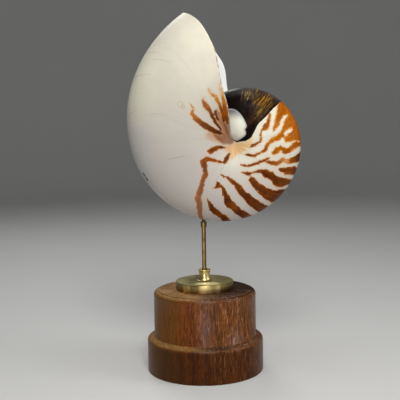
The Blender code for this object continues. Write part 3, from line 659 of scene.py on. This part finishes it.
class Nodes:
    """Short calls for building one material's node tree."""

    def __init__(self, name):
        self.material = bpy.data.materials.new(name)
        self.material.use_nodes = True
        self.tree = self.material.node_tree
        self.shader = self.tree.nodes["Principled BSDF"]

    def add(self, kind, **settings):
        node = self.tree.nodes.new("ShaderNode" + kind)
        for key, value in settings.items():
            setattr(node, key, value)
        return node

    def put(self, socket, value):
        """Link a socket's output or set a plain value."""
        if isinstance(value, bpy.types.NodeSocket):
            self.tree.links.new(value, socket)
        elif isinstance(value, tuple) and len(value) == 3 and socket.type == "RGBA":
            socket.default_value = (*value, 1.0)
        else:
            socket.default_value = value

    def fill(self, node, *values):
        """Set a node's inputs in their order; its first output."""
        for socket, value in zip(node.inputs, values):
            self.put(socket, value)
        return node.outputs[0]

    def fill_named(self, node, **values):
        """Set a node's inputs by name; its first output."""
        for key, value in values.items():
            self.put(node.inputs[key.replace("_", " ")], value)
        return node.outputs[0]

    def attribute(self, name):
        return self.add("Attribute", attribute_name=name).outputs["Fac"]

    def math(self, operation, a, b=0.0, c=0.0, clamp=False):
        return self.fill(self.add("Math", operation=operation, use_clamp=clamp), a, b, c)

    def times(self, product, *factors):
        for factor in factors:
            product = self.math("MULTIPLY", product, factor)
        return product

    def scaled(self, value, factor, plus):
        return self.math("MULTIPLY_ADD", value, factor, plus)

    def centred(self, noise):
        return self.math("SUBTRACT", noise, 0.5)

    def inverse(self, share):
        return self.math("SUBTRACT", 1.0, share)

    def ramp(self, value, low, high, out_low=0.0, out_high=1.0):
        """Smooth step of a value between two limits."""
        node = self.add("MapRange", interpolation_type="SMOOTHSTEP")
        return self.fill(node, value, low, high, out_low, out_high)

    def mix(self, factor, a, b):
        node = self.add("Mix", data_type="RGBA")
        for index, value in ((0, factor), (6, a), (7, b)):   # its colour sockets are 6 and 7
            self.put(node.inputs[index], value)
        return node.outputs[2]

    def over(self, colour, *layers):
        """A colour with others laid over it in turn, each given with masks that multiply."""
        for layer, *masks in layers:
            colour = self.mix(self.times(*masks), colour, layer)
        return colour

    def combine(self, *parts):
        return self.fill(self.add("CombineXYZ"), *parts)

    def split(self, vector):
        """The three parts of a vector."""
        node = self.add("SeparateXYZ")
        self.put(node.inputs[0], vector)
        return node.outputs

    def place(self, scale=(1, 1, 1)):
        """Object coordinates, stretched."""
        at = self.add("TexCoord").outputs["Object"]
        return self.fill_named(self.add("Mapping"), Vector=at, Scale=scale)

    def noise(self, vector, scale, detail=3.0, roughness=0.55, distortion=0.0):
        return self.fill_named(self.add("TexNoise"), Vector=vector, Scale=scale, Detail=detail,
                               Roughness=roughness, Distortion=distortion)

    def geometry(self, output):
        return self.add("NewGeometry").outputs[output]

    def bump(self, height, strength, distance):
        return self.fill_named(self.add("Bump"), Strength=strength, Distance=distance, Height=height)

    def stain(self, x, z, kind, mark):
        """1 on a short line or a ring, given in mm, and 0 beside it."""
        *shape, half_width = [v * MM for v in mark]
        dx, dz = self.math("SUBTRACT", x, shape[0]), self.math("SUBTRACT", z, shape[1])
        if kind == "line":
            ux, uz = shape[2] - shape[0], shape[3] - shape[1]
            square = ux * ux + uz * uz
            t = self.math("MULTIPLY_ADD", dx, ux / square, self.times(dz, uz / square), clamp=True)
            dx, dz = self.scaled(t, -ux, dx), self.scaled(t, -uz, dz)
        away = self.math("SQRT", self.scaled(dx, dx, self.times(dz, dz)))
        if kind == "ring":
            away = self.math("ABSOLUTE", self.math("SUBTRACT", away, shape[2]))
        return self.ramp(away, 1.6 * half_width, 0.5 * half_width)

    def finish(self, **values):
        self.fill_named(self.shader, **values)
        return self.material


def shell_material():
    """Ivory shell with rust stripes, black film, white pad and pearly inside, with painted shade lower down
    and on the pad and a painted sheen along the film's keel.
    """
    n = Nodes("shell_look")
    place = n.place()
    east, north, height = n.split(place)
    growth, across, turn = (n.attribute(name) for name in ("growth", "across", "turn"))

    def drawn_out(per_degree, per_share, shift, detail, rough, back=growth):
        """Noise drawn out along lines of the same angle back from the mouth."""
        at = n.combine(n.times(back, per_degree), n.times(across, per_share), shift)
        return n.noise(at, 1.0, detail, rough)

    hair = drawn_out(0.55, 1.6, 0.0, 6.0, 0.72)
    bands = drawn_out(0.12, 0.9, 4.0, 3.0, 0.5)
    teeth = drawn_out(0.75, 7.0, 7.0, 4.0, 0.7)
    streaks = drawn_out(0.3, 3.0, 1.0, 4.0, 0.6)
    broad = n.noise(place, 22.0, 3.0, 0.5)
    fine = n.noise(place, 900.0, 4.0, 0.6)
    edge = n.noise(place, 330.0, 5.0, 0.7)
    streak = n.centred(streaks)

    # Painted shade: the ivory, plain and striped, turns greyer and darker towards the bottom, as if lit from
    # above.
    ivory = n.mix(n.ramp(height, 0.155, 0.275), (0.44, 0.402, 0.375), (0.765, 0.728, 0.59))
    striped = n.mix(n.ramp(height, 0.145, 0.195), (0.465, 0.428, 0.395), (0.645, 0.63, 0.51))
    ivory = n.over(
        ivory,
        (striped, n.ramp(growth, 110.0, 180.0)),
        ((0.5, 0.455, 0.43), n.ramp(broad, 0.4, 0.66), 0.35),
        ((0.3, 0.24, 0.21), n.ramp(hair, 0.56, 0.68), 0.22),
        ((0.44, 0.4, 0.37), n.ramp(bands, 0.5, 0.66), 0.18))
    outer = n.ramp(east, -0.028, -0.054)
    # Painted shade: a cool grey on the lower left edge, where the shell turns away from the light.
    cool = n.times(outer, n.ramp(height, 0.212, 0.19))
    ivory = n.over(ivory, ((0.405, 0.415, 0.41), cool, 0.5))
    green = n.times(outer, n.ramp(height, 0.2, 0.222))
    ivory = n.over(ivory, ((0.54, 0.56, 0.4), green, 0.28))
    near = n.ramp(north, 0.0, -0.005)
    for kind, colour, strength, marks in STAINS:
        for mark in marks:
            shape = n.stain(east, height, kind, mark)
            ivory = n.over(ivory, (colour, shape, strength, near))
    tan = n.ramp(n.scaled(streak, 4.5, n.attribute("tan")), -1.6, 2.0)
    tan_colour = n.mix(n.ramp(streaks, 0.4, 0.62), (0.74, 0.505, 0.225), (0.56, 0.3, 0.1))
    tan_colour = n.over(tan_colour, ((0.44, 0.25, 0.16), n.ramp(east, 0.027, 0.018), 0.65))
    ivory = n.over(ivory, (tan_colour, tan, 0.9))
    smoke = n.ramp(n.scaled(streak, 7.0, n.attribute("smoke")), -1.5, 3.0)
    ivory = n.over(ivory, ((0.48, 0.255, 0.115), smoke, 0.8))
    brown = n.ramp(n.scaled(streak, 3.0, n.attribute("brown")), -0.7, 0.8)
    threads = drawn_out(0.34, 1.6, 11.0, 4.0, 0.7)
    low = n.ramp(across, 0.085, 0.03)
    brown_colour = n.mix(n.ramp(streaks, 0.4, 0.58), (0.42, 0.175, 0.06), (0.2, 0.055, 0.014))
    brown_colour = n.over(
        brown_colour,
        ((0.34, 0.19, 0.14), low, 0.75),
        ((0.56, 0.29, 0.13), n.ramp(threads, 0.53, 0.63), 0.7),
        ((0.12, 0.032, 0.01), n.ramp(threads, 0.49, 0.4), 0.8))
    ivory = n.over(ivory, (brown_colour, brown, 0.92))

    wobble = n.scaled(n.centred(edge), 4.2, n.attribute("stripe"))
    wobble = n.scaled(n.centred(teeth), 3.6, wobble)
    halo = n.times(n.ramp(wobble, -1.3, 0.0), n.ramp(growth, 150.0, 215.0, 0.45, 0.7))
    ivory = n.over(ivory, ((0.64, 0.39, 0.19), halo))
    blotch = n.centred(n.noise(place, 120.0, 5.0, 0.7))
    tone = n.math("ADD", n.attribute("tone"), n.ramp(wobble, 1.6, 0.0, -0.06, 0.24))
    tone = n.scaled(blotch, 1.3, tone)
    tone = n.scaled(n.centred(hair), 1.1, tone)
    ramp = n.add("ValToRGB")
    for k, (place_at, shade) in enumerate(STRIPE_TONES):
        stop = ramp.color_ramp.elements[k] if k < 2 else ramp.color_ramp.elements.new(place_at)
        stop.position, stop.color = place_at, (*shade, 1.0)
    n.put(ramp.inputs[0], n.math("DIVIDE", tone, 1.35))
    solid = n.inverse(n.attribute("faded"))
    in_stripe = n.times(n.ramp(wobble, -0.14, 0.22), solid)
    colour = n.mix(in_stripe, ivory, ramp.outputs[0])
    lip_line = n.times(n.ramp(growth, 0.42, 0.1), n.ramp(edge, 0.4, 0.56), n.ramp(across, 0.6, 0.54))
    colour = n.over(colour, ((0.2, 0.11, 0.07), lip_line, 0.75))

    film = n.scaled(n.centred(edge), 1.4, n.attribute("film"))
    in_film = n.ramp(film, -0.15, 0.25)
    rays = drawn_out(0.6, 2.0, 3.0, 4.0, 0.65, turn)
    sparks = drawn_out(1.1, 5.0, 9.0, 3.0, 0.65, turn)
    clumps = n.noise(place, 260.0, 4.0, 0.7)
    in_gold = n.attribute("gold")
    zone = n.ramp(n.scaled(n.centred(rays), 22.0, in_gold), -3.0, 3.5)
    haze = n.times(n.ramp(rays, 0.36, 0.56), n.ramp(in_gold, -6.0, 1.5))
    gold = n.times(n.ramp(sparks, 0.5, 0.62), zone)
    pale = n.times(n.ramp(sparks, 0.52, 0.6), zone, n.ramp(growth, 318.0, 326.0))
    warm = n.times(n.ramp(growth, 345.0, 308.0), n.ramp(across, 0.15, 0.35), n.ramp(clumps, 0.42, 0.6))
    black = n.mix(n.ramp(rays, 0.42, 0.66), (0.002, 0.001, 0.001), (0.009, 0.006, 0.004))
    black = n.over(black, ((0.034, 0.014, 0.007), warm))
    # Painted sheen: a grey-lilac band along the film's edge at the keel, standing in for a reflection.
    lightened = n.times(n.ramp(across, 0.82, 0.97), n.ramp(rays, 0.36, 0.56))
    black = n.over(
        black,
        ((0.21, 0.19, 0.2), lightened, 0.4),
        ((0.052, 0.034, 0.013), haze, 0.6))
    amber = n.mix(n.ramp(rays, 0.44, 0.6), (0.215, 0.092, 0.008), (0.52, 0.27, 0.028))
    deep = n.times(n.ramp(in_gold, 1.0, 6.0), n.ramp(growth, 330.0, 312.0))
    amber = n.over(amber, ((0.7, 0.33, 0.022), deep, 0.75))
    black = n.over(
        black,
        (amber, gold),
        ((0.52, 0.45, 0.26), pale, 0.7))
    border = n.times(n.ramp(film, 1.5, 0.4), n.ramp(film, -0.1, 0.2))
    black = n.over(black, ((0.004, 0.003, 0.003), border, 0.8))
    colour = n.over(colour, (black, in_film))

    pad = n.scaled(n.centred(edge), 0.6, n.attribute("pad"))
    cream = n.mix(n.ramp(broad, 0.42, 0.6), (0.645, 0.635, 0.54), (0.575, 0.565, 0.505))
    # Painted shade: the pad is grey at its top, which faces up, and towards its rounded edges.
    cream = n.over(
        cream,
        ((0.14, 0.14, 0.15), n.ramp(height, 0.2045, 0.214)),
        ((0.33, 0.325, 0.345), n.ramp(pad, 2.2, 0.0, 0.0, 0.75)))
    in_pad = n.ramp(pad, -0.1, 0.25)
    colour = n.over(colour, (cream, in_pad))
    nacre = n.mix(n.ramp(n.noise(place, 40.0, 2.0), 0.35, 0.65), (0.86, 0.835, 0.815), (0.78, 0.79, 0.78))
    in_nacre = n.ramp(n.attribute("nacre"), 0.3, 0.6)
    colour = n.over(colour, (nacre, in_nacre))

    relief = n.math("ADD", n.times(hair, 0.8), n.times(fine, 0.2))
    normal = n.bump(relief, 0.3, 0.0004)
    rough = n.ramp(broad, 0.3, 0.7, 0.36, 0.46)
    rough = n.scaled(in_film, n.math("SUBTRACT", 0.32, rough), rough)
    sheen = n.scaled(n.ramp(across, 0.7, 0.97), 0.65, -0.22)
    gloss = n.scaled(in_film, sheen, 0.24)
    gloss = n.scaled(in_stripe, n.scaled(in_film, 0.19, -0.19), gloss)
    n.shader.inputs["Specular IOR Level"].default_value = 0.24
    return n.finish(Base_Color=colour, Roughness=rough, Normal=normal, Specular_IOR_Level=gloss)


def wood_material():
    """Red-brown turned wood with fine vertical pores, dust on the shoulder and worn edges, with painted
    light and shade: paler to the left, darker to the right and on the lower tier, and rims partly a painted
    highlight.
    """
    n = Nodes("wood_look")
    place = n.place()
    east, north, height = n.split(place)
    grain = n.noise(n.place((1, 1, 0.05)), 150.0, 6.0, 0.62, 0.2)
    pores = n.noise(n.place((1, 1, 0.11)), 1150.0, 4.0, 0.75)
    pale = n.noise(n.place((1, 1, 0.1)), 1000.0, 4.0, 0.7, 0.4)
    broad = n.noise(n.place((1, 1, 0.35)), 26.0, 3.0, 0.5)
    colour = n.mix(n.ramp(grain, 0.34, 0.66), (0.085, 0.018, 0.002), (0.2, 0.05, 0.007))
    colour = n.over(
        colour,
        ((0.112, 0.046, 0.009), n.ramp(broad, 0.38, 0.64), 0.55),
        ((0.02, 0.005, 0.002), n.ramp(pores, 0.49, 0.58), 0.8))
    fibres = n.times(n.ramp(pale, 0.55, 0.64), n.ramp(east, -0.02, 0.025, 0.15, 0.95))
    colour = n.over(colour, ((0.36, 0.155, 0.07), fibres))
    side = n.ramp(east, -0.006, -0.04)
    colour = n.over(colour, ((0.14, 0.062, 0.013), side, 0.6))
    up = n.split(n.geometry("Normal"))[2]   # 1 where the surface faces straight up
    # Partly stain, partly painted shade: the lower tier is darker, less so at its left and right ends.
    lower = n.ramp(height, SHOULDER_TOP - 1.0 * MM, LOWER_WALL_TOP - 1.0 * MM)
    ends = n.times(n.ramp(east, -0.045, -0.035, 0.2, 0.62), n.ramp(east, 0.046, 0.037, 0.55, 1.0))
    colour = n.over(colour, ((0.018, 0.006, 0.001), lower, ends))
    speckle = n.noise(place, 480.0, 5.0, 0.8)
    facing_up = n.ramp(up, 0.35, 0.95)
    right = n.ramp(east, -0.018, 0.01)
    high = n.ramp(height, UPPER_WALL_TOP, BASE_TOP - 1.0 * MM)
    # Painted shade: up-facing surfaces are darker on the right, most of all on the top face.
    darkened = n.times(facing_up, right, n.scaled(high, 0.4, 0.35))
    colour = n.over(colour, ((0.046, 0.019, 0.009), darkened))
    middle = n.times(n.ramp(east, -0.016, -0.003), n.ramp(east, 0.03, 0.01))
    middle = n.times(middle, facing_up, n.inverse(high))
    colour = n.over(colour, ((0.034, 0.014, 0.006), middle, 0.75))
    # Partly dust, partly painted light: up-facing surfaces are paler golden tan on the left.
    smooth = n.times(facing_up, n.inverse(right))
    colour = n.over(colour, ((0.27, 0.142, 0.042), smooth, 0.6))
    dust = n.times(facing_up, n.ramp(speckle, 0.5, 0.64))
    dust_colour = n.mix(right, (0.42, 0.29, 0.15), (0.3, 0.26, 0.21))
    dusty = n.scaled(middle, -0.3, 0.65)
    colour = n.over(colour, (dust_colour, dust, dusty))
    top_face = n.times(n.ramp(up, 0.9, 0.98), high)
    # Partly wear, partly painted light: paler patches on the top face towards the left, where the light
    # falls.
    lightened = n.times(n.ramp(n.noise(place, 95.0, 4.0, 0.6), 0.42, 0.58), n.ramp(east, 0.012, -0.022))
    colour = n.over(colour, ((0.36, 0.22, 0.1), top_face, lightened, 0.7))
    shade = n.times(n.ramp(up, 0.8, 0.98), n.ramp(east, -0.005, 0.022))
    shade = n.times(shade, n.ramp(north, -0.032, -0.008, 0.45, 1.0))
    colour = n.over(colour, ((0.014, 0.005, 0.002), shade, high, 0.8))
    # Partly wear, partly painted highlight: convex rims are paler, where rounded edges catch the light.
    rubbed_and_highlit = n.times(n.ramp(n.geometry("Pointiness"), 0.52, 0.6), n.ramp(speckle, 0.36, 0.56))
    colour = n.over(colour, ((0.36, 0.2, 0.095), rubbed_and_highlit, 0.6))
    normal = n.bump(n.math("SUBTRACT", n.times(grain, 0.4), pores), 0.35, 0.0003)
    rough = n.ramp(up, 0.5, 0.95, 0.3, 0.6)
    gloss = n.times(n.scaled(lower, -0.13, 0.21), n.ramp(up, 0.35, 0.95, 1.0, 0.25))
    n.shader.inputs["Specular IOR Level"].default_value = 0.2
    return n.finish(Base_Color=colour, Roughness=rough, Normal=normal, Specular_IOR_Level=gloss)


# Darker bands around the disc's wall, a painted reflection of dark surroundings: start, full, end of full
# and end, in mm to the right, and strength
DISC_BANDS = ((-40.0, -30.0, -18.5, -16.0, 0.75), (-13.0, -11.0, -6.0, -3.0, 0.65),
              (4.0, 6.0, 8.5, 9.5, 0.30), (11.5, 13.5, 30.0, 40.0, 0.75))
DISC_DARK = (0.11, 0.073, 0.012)
# Painted highlight on the disc in front of the collar: centre and half size, in mm
PAINTED_HIGHLIGHT = (2.5, -15.5, 11.0, 6.5)


def brass_material(name, tarnish, stub=False, banded=False, bright=0.0):
    """Satin brass with greenish tarnish where it faces up, browned on the pin above the ferrule, with
    painted reflections on the disc and painted shade on the rod's sides.
    """
    n = Nodes(name)
    place = n.place()
    east, north, height = n.split(place)
    patches = n.noise(place, 110.0, 5.0, 0.65)
    fine = n.noise(n.place((1, 1, 6)), 900.0, 3.0, 0.6)
    colour = n.mix(n.ramp(n.noise(place, 50.0, 3.0), 0.35, 0.65), (0.56, 0.43, 0.17), (0.47, 0.35, 0.11))
    colour = n.over(colour, ((0.9, 0.74, 0.36), bright))
    up = n.split(n.geometry("Normal"))[2]   # 1 where the surface faces straight up
    flat = n.ramp(up, 0.5, 0.9)
    metal = 1.0
    if banded:
        colour = n.over(colour, ((0.93, 0.73, 0.33), 0.7))
        wall = n.inverse(flat)
        for start, full, full_end, end, strength in DISC_BANDS:
            band = n.times(n.ramp(east, start * MM, full * MM), n.ramp(east, end * MM, full_end * MM))
            colour = n.over(colour, (DISC_DARK, band, wall, strength))
        # Painted reflection: the rounded rim between the wall and the top is darkened.
        colour = n.over(colour, (DISC_DARK, n.ramp(up, 0.1, 0.35), n.ramp(up, 0.98, 0.8), 0.6))
        # Partly tarnish, partly painted reflection: the olive top has light and dark sweeps, lighter to the
        # left and darker to the right.
        sweep = n.noise(n.place((1, 0.5, 1)), 60.0, 3.0, 0.5, 1.0)
        olive = n.mix(n.ramp(sweep, 0.42, 0.6), (0.23, 0.2, 0.078), (0.09, 0.074, 0.016))
        olive = n.over(
            olive,
            ((0.42, 0.38, 0.2), n.ramp(east, -8.0 * MM, -21.0 * MM, 0.0, 0.6)),
            ((0.095, 0.08, 0.015), n.ramp(east, 4.0 * MM, 12.0 * MM, 0.0, 0.6)))
        colour = n.over(colour, (olive, flat, 0.97))
        dx, dy = (n.math("DIVIDE", n.math("SUBTRACT", place_at, middle * MM), half * MM)
                  for place_at, middle, half in zip((east, north), PAINTED_HIGHLIGHT[:2], PAINTED_HIGHLIGHT[2:]))
        away = n.scaled(dx, dx, n.times(dy, dy))
        painted_highlight = n.times(n.ramp(away, 1.3, 0.1), flat)
        colour = n.over(colour, ((1.0, 0.88, 0.43), painted_highlight, 0.9))
        metal = n.scaled(n.math("MAXIMUM", n.times(flat, 0.95), painted_highlight), -0.95, 1.0)
    dull = n.times(n.ramp(patches, 0.42, 0.66), tarnish)
    colour = n.over(colour, ((0.19, 0.16, 0.058), dull))
    rough = n.ramp(patches, 0.35, 0.65, 0.3, 0.4)
    if stub:
        # Partly tarnish, partly painted shade: the rod and ferrule are browned towards the right and
        # darkened at the left edge.
        colour = n.over(
            colour,
            ((0.14, 0.072, 0.022), n.ramp(east, -0.6 * MM, 1.0 * MM, 0.15, 0.9)),
            ((0.12, 0.08, 0.022), n.ramp(east, -0.8 * MM, -1.5 * MM, 0.0, 0.8)))
        above = n.ramp(height, FERRULE_TOP - 0.2 * MM, FERRULE_TOP + 0.1 * MM)
        colour = n.over(colour, ((0.12, 0.06, 0.03), above))
    normal = n.bump(fine, 0.05, 0.0002)
    return n.finish(Base_Color=colour, Metallic=metal, Roughness=rough, Normal=normal,
                    Specular_IOR_Level=0.15)


def arc(centre, half_size, start, end, steps):
    """Points of an elliptical arc; angles in degrees, 0 outwards and 90 up."""
    angles = [math.radians(start + (end - start) * k / steps) for k in range(steps + 1)]
    return [(centre[0] + half_size[0] * math.cos(a), centre[1] + half_size[1] * math.sin(a)) for a in angles]


def rounded(radius, z, edge, steps, upper=True):
    """Points of a rounded rim whose corner would be at a radius and height."""
    centre = (radius - edge, z - edge if upper else z + edge)
    return arc(centre, (edge, edge), *((90, 0) if upper else (0, -90)), steps)


def linked(name, data):
    """A new object in the scene."""
    obj = bpy.data.objects.new(name, data)
    bpy.context.scene.collection.objects.link(obj)
    return obj


def turned_mesh(name, profile, steps, closed=False):
    """A smooth mesh turned about the stem from (radius, height) points."""
    bm = bmesh.new()
    rings = [[bm.verts.new((r * math.cos(TURN * k / steps), r * math.sin(TURN * k / steps), z))
              for k in range(steps)] for r, z in profile]
    for upper, lower in zip(rings, rings[1:] + (rings[:1] if closed else [])):
        for k in range(steps):
            bm.faces.new((upper[k - 1], upper[k], lower[k], lower[k - 1]))
    return finished_mesh(name, bm)


def turned(name, node, profile, mat, closed=False):
    """A finely turned piece that stands for a CAD node."""
    mesh = turned_mesh(name, profile, 192, closed)
    mesh.set_sharp_from_angle(angle=math.radians(50))
    mesh.materials.append(mat)
    obj = linked(name, mesh)
    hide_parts(node)
    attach(obj, "root")


def make_stand():
    """The wooden base and the brass fittings, as profiles from the top down."""
    rim = (UPPER_TIER_RADIUS - RIM_INNER_RADIUS, BASE_TOP - RIM_DROP - UPPER_WALL_TOP)
    shoulder = (LOWER_TIER_RADIUS - UPPER_TIER_RADIUS, SHOULDER_TOP - LOWER_WALL_TOP)
    profile = [(0, BASE_TOP), *rounded(RIM_INNER_RADIUS, BASE_TOP, 0.5 * MM, 4),
               *arc((RIM_INNER_RADIUS, UPPER_WALL_TOP), rim, 90, 0, 16),
               (UPPER_TIER_RADIUS, SHOULDER_TOP + 0.4 * MM),
               *arc((UPPER_TIER_RADIUS, LOWER_WALL_TOP), shoulder, 86, 0, 16),
               *rounded(LOWER_TIER_RADIUS, 0, 0.8 * MM, 5, upper=False), (0, 0)]
    turned("stand_base", "wooden_base", profile, wood_material())
    profile = [(0, DISC_TOP), *rounded(DISC_RADIUS, DISC_TOP, 0.8 * MM, 6),
               *rounded(DISC_RADIUS, DISC_BOTTOM, 0.3 * MM, 3, upper=False), (0, DISC_BOTTOM)]
    turned("stand_disc", "brass_disc", profile, brass_material("disc_look", 0.50, banded=True))
    waist_z, bore = COLLAR_TOP - COLLAR_WAIST_DOWN, ROD_RADIUS + BORE_GAP
    width, height = COLLAR_FOOT_RADIUS - COLLAR_WAIST_RADIUS, waist_z - COLLAR_BOTTOM
    flare = [(COLLAR_FOOT_RADIUS - width * math.cos(a), waist_z - height * math.sin(a))
             for a in (math.pi / 2 * k / 14 for k in range(15))]
    cup_radius, cup_floor = 4.0 * MM, COLLAR_TOP - 1.6 * MM
    profile = [(cup_radius, COLLAR_TOP), *rounded(COLLAR_TOP_RADIUS, COLLAR_TOP, 0.25 * MM, 3),
               (COLLAR_TOP_RADIUS, COLLAR_TOP - 0.6 * MM),
               (COLLAR_WAIST_RADIUS + 0.1 * MM, waist_z + 1.2 * MM), *flare,
               (bore, COLLAR_BOTTOM), (bore, cup_floor), (cup_radius, cup_floor)]
    collar_brass = brass_material("collar_look", 0.15, bright=0.55)
    turned("stand_collar", "brass_collar", profile, collar_brass, closed=True)
    profile = [(0, PIN_SHOWN_TO), (PIN_RADIUS, PIN_SHOWN_TO), (PIN_RADIUS, SHOULDER_Z),
               (ROD_RADIUS, SHOULDER_Z), (ROD_RADIUS, ROD_FOOT), (0, ROD_FOOT)]
    rod_brass = brass_material("rod_look", 1.0, stub=True)
    turned("stand_rod", "brass_rod", profile, rod_brass)
    bore, bead = PIN_RADIUS + BORE_GAP, FERRULE_BEAD_RADIUS - FERRULE_RADIUS
    profile = [(bore, FERRULE_TOP), (FERRULE_RADIUS, FERRULE_TOP),
               *arc((FERRULE_RADIUS, FERRULE_TOP - 2 * bead), (bead, 1.6 * bead), 80, -80, 8),
               (FERRULE_RADIUS, FERRULE_BOTTOM), (bore, FERRULE_BOTTOM)]
    turned("stand_ferrule", "brass_ferrule", profile, rod_brass, closed=True)


def make_shell():
    """The whole shell as one piece."""
    mesh = mesh_from_grids("shell", shell_grids())
    place = Matrix.Translation((AXIS_X * math.cos(SHELL_TURN), -AXIS_X * math.sin(SHELL_TURN), AXIS_Z))
    mesh.transform(place @ Matrix.Rotation(-SHELL_TURN, 4, "Z"))
    mesh.materials.append(shell_material())
    shell = linked("shell", mesh)
    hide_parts("nautilus_shell")
    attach(shell, "root")


def make_stage():
    """Pale floor that rises into a round wall, the same seen from every side."""
    bend = (math.pi / 2 * k / 12 for k in range(13))
    profile = [(0, 0)] + [(1.5 + math.sin(a), 1 - math.cos(a)) for a in bend] + [(2.5, 2.6)]
    mesh = turned_mesh("studio_floor", profile, 96)
    n = Nodes("studio_floor_look")
    tint = n.mix(n.noise(n.place(), 3.0), (0.62, 0.62, 0.61), (0.66, 0.66, 0.65))
    mesh.materials.append(n.finish(Base_Color=tint, Roughness=0.7))
    floor = linked("studio_floor", mesh)


def area_light(name, place, target, size, power, colour=(1, 1, 1)):
    """A soft light panel of a width and height, aimed at a point."""
    data = bpy.data.lights.new(name, "AREA")
    data.shape = "RECTANGLE"
    data.size, data.size_y = size
    data.energy = power
    data.color = colour
    light = linked(name, data)
    light.location = place
    light.rotation_euler = (Vector(target) - Vector(place)).to_track_quat("-Z", "Y").to_euler()


def make_light_and_camera():
    """Soft studio light and the camera at the photo's viewing angle."""
    scene = bpy.context.scene
    middle = (0.0, 0.0, 0.17)
    area_light("front", (0.0, -1.15, 0.26), middle, (0.20, 0.46), 2.8, (1.0, 0.99, 0.97))
    area_light("key", (0.05, -0.62, 0.70), (0.0, 0.0, 0.22), (0.30, 0.30), 4.6, (1.0, 0.985, 0.955))
    area_light("top", (-0.05, -0.15, 1.10), middle, (0.50, 0.50), 2.0)
    area_light("rim", (-0.25, 0.70, 0.80), middle, (0.40, 0.40), 2.0)
    area_light("right", (0.85, -0.30, 0.45), middle, (0.40, 0.40), 2.5)
    scene.world = bpy.data.worlds.new("studio_world")
    scene.world.use_nodes = True
    sky = scene.world.node_tree.nodes["Background"].inputs
    sky["Color"].default_value, sky["Strength"].default_value = (0.80, 0.82, 0.85, 1), 0.12
    scene.view_settings.view_transform = "Standard"
    pitch, roll, yaw = (math.radians(d) for d in CAMERA_DEGREES)
    ahead = Vector((math.sin(yaw) * math.cos(pitch), math.cos(yaw) * math.cos(pitch), -math.sin(pitch)))
    right = Vector((math.cos(yaw), -math.sin(yaw), 0))
    up = right.cross(ahead)
    right, up = math.cos(roll) * right + math.sin(roll) * up, math.cos(roll) * up - math.sin(roll) * right
    camera = linked("camera", bpy.data.cameras.new("camera"))
    camera.data.lens, camera.data.sensor_width = CAMERA_LENS, CAMERA_SENSOR
    pose = Matrix((right, up, -ahead)).transposed().to_4x4()
    pose.translation = Vector(CAMERA_PLACE)
    camera.matrix_world = pose
    scene.camera = camera


make_stand()
make_shell()
make_stage()
make_light_and_camera()
